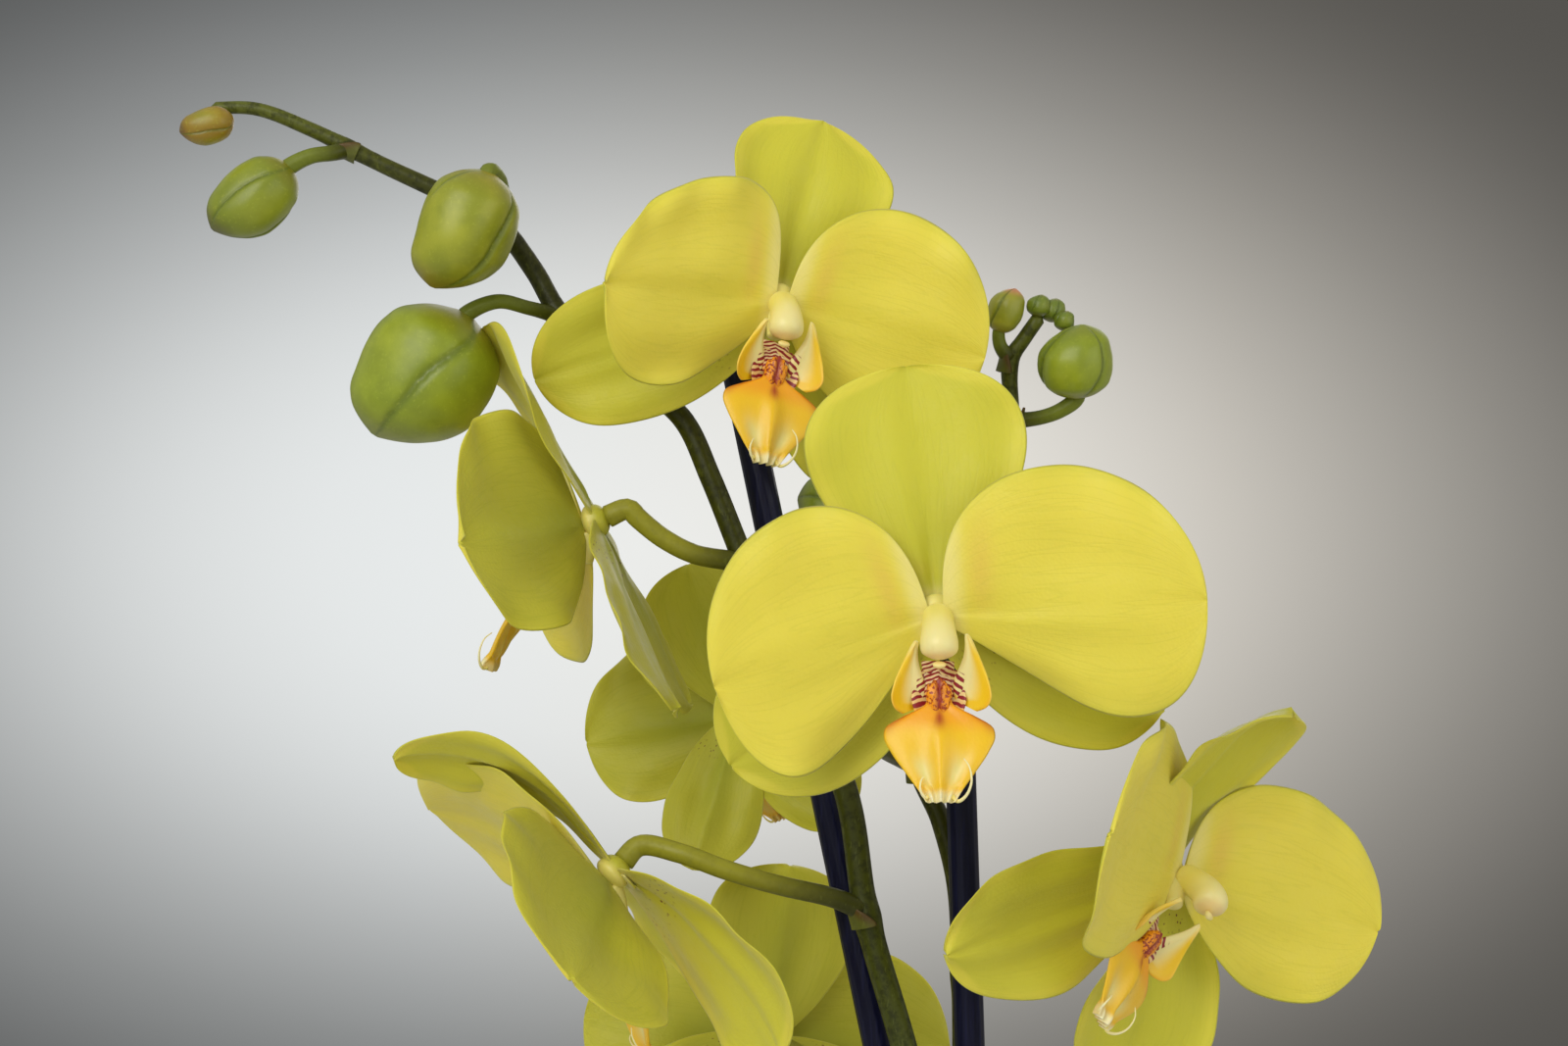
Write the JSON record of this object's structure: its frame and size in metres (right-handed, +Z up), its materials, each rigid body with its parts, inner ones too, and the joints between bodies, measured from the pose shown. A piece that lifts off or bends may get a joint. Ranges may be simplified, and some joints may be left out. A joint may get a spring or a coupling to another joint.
{
  "type": "potted orchid",
  "caption": "Moth orchid in a plain round pot of bark, with broad leaves, aerial roots and two staked arching spikes of open yellow flowers and buds.",
  "frame": {"origin": "centre of the pot's flat underside, on the surface it stands on", "axes": "+Z up along the pot axis; +X to the right and +Y away from the viewer when the large open flower faces the viewer"},
  "size_m": [0.4086, 0.1388, 0.5634],
  "materials": {
    "pot_glaze": "satin off-white glaze",
    "bark_mix": "rough dry bark chips",
    "crown_green": "smooth, slightly glossy",
    "leaf_green": "smooth waxy leaf",
    "root_velamen": "matte silvery velamen",
    "stake_blue_black": "dark stained wood, satin",
    "clip_plastic": "moulded, satin",
    "spike_green": "smooth mottled stem",
    "bud_green": "smooth with faint veins",
    "lip_orange": "fleshy, waxy",
    "sepal_yellow": "matte, finely veined, slightly translucent",
    "petal_yellow": "matte, finely veined, slightly translucent"
  },
  "bodies": {
    "root": {"bark": "bark_mix", "crown": "crown_green", "root_1": "root_velamen", "root_2": "root_velamen", "root_3": "root_velamen", "root_4": "root_velamen", "stake_one": "stake_blue_black", "stake_two": "stake_blue_black", "leaf_1": "leaf_green", "leaf_2": "leaf_green", "leaf_3": "leaf_green", "leaf_4": "leaf_green", "leaf_5": "leaf_green", "bud_1": "bud_green", "bud_2": "bud_green", "bud_3": "bud_green", "bud_4": "bud_green", "bud_5": "bud_green", "bud_6": "bud_green", "bud_7": "bud_green", "spike_one": "spike_green", "spike_two": "spike_green", "flower_a_dorsal_sepal": "sepal_yellow", "flower_a_petal_left": "petal_yellow", "flower_a_petal_right": "petal_yellow", "flower_a_lateral_sepals": "sepal_yellow", "flower_a_lip": "lip_orange", "flower_b_dorsal_sepal": "sepal_yellow", "flower_b_petal_left": "petal_yellow", "flower_b_petal_right": "petal_yellow", "flower_b_lateral_sepals": "sepal_yellow", "flower_b_lip": "lip_orange", "flower_c_dorsal_sepal": "sepal_yellow", "flower_c_petal_left": "petal_yellow", "flower_c_petal_right": "petal_yellow", "flower_c_lateral_sepals": "sepal_yellow", "flower_c_lip": "lip_orange", "flower_d_dorsal_sepal": "sepal_yellow", "flower_d_petal_left": "petal_yellow", "flower_d_petal_right": "petal_yellow", "flower_d_lateral_sepals": "sepal_yellow", "flower_d_lip": "lip_orange", "flower_e_dorsal_sepal": "sepal_yellow", "flower_e_petal_left": "petal_yellow", "flower_e_petal_right": "petal_yellow", "flower_e_lateral_sepals": "sepal_yellow", "flower_e_lip": "lip_orange", "flower_f_dorsal_sepal": "sepal_yellow", "flower_f_petal_left": "petal_yellow", "flower_f_petal_right": "petal_yellow", "flower_f_lateral_sepals": "sepal_yellow", "flower_f_lip": "lip_orange", "flower_g_dorsal_sepal": "sepal_yellow", "flower_g_petal_left": "petal_yellow", "flower_g_petal_right": "petal_yellow", "flower_g_lateral_sepals": "sepal_yellow", "flower_g_lip": "lip_orange", "clip_1": "clip_plastic", "clip_2": "clip_plastic", "pot": "pot_glaze"}
  },
  "joints": []
}
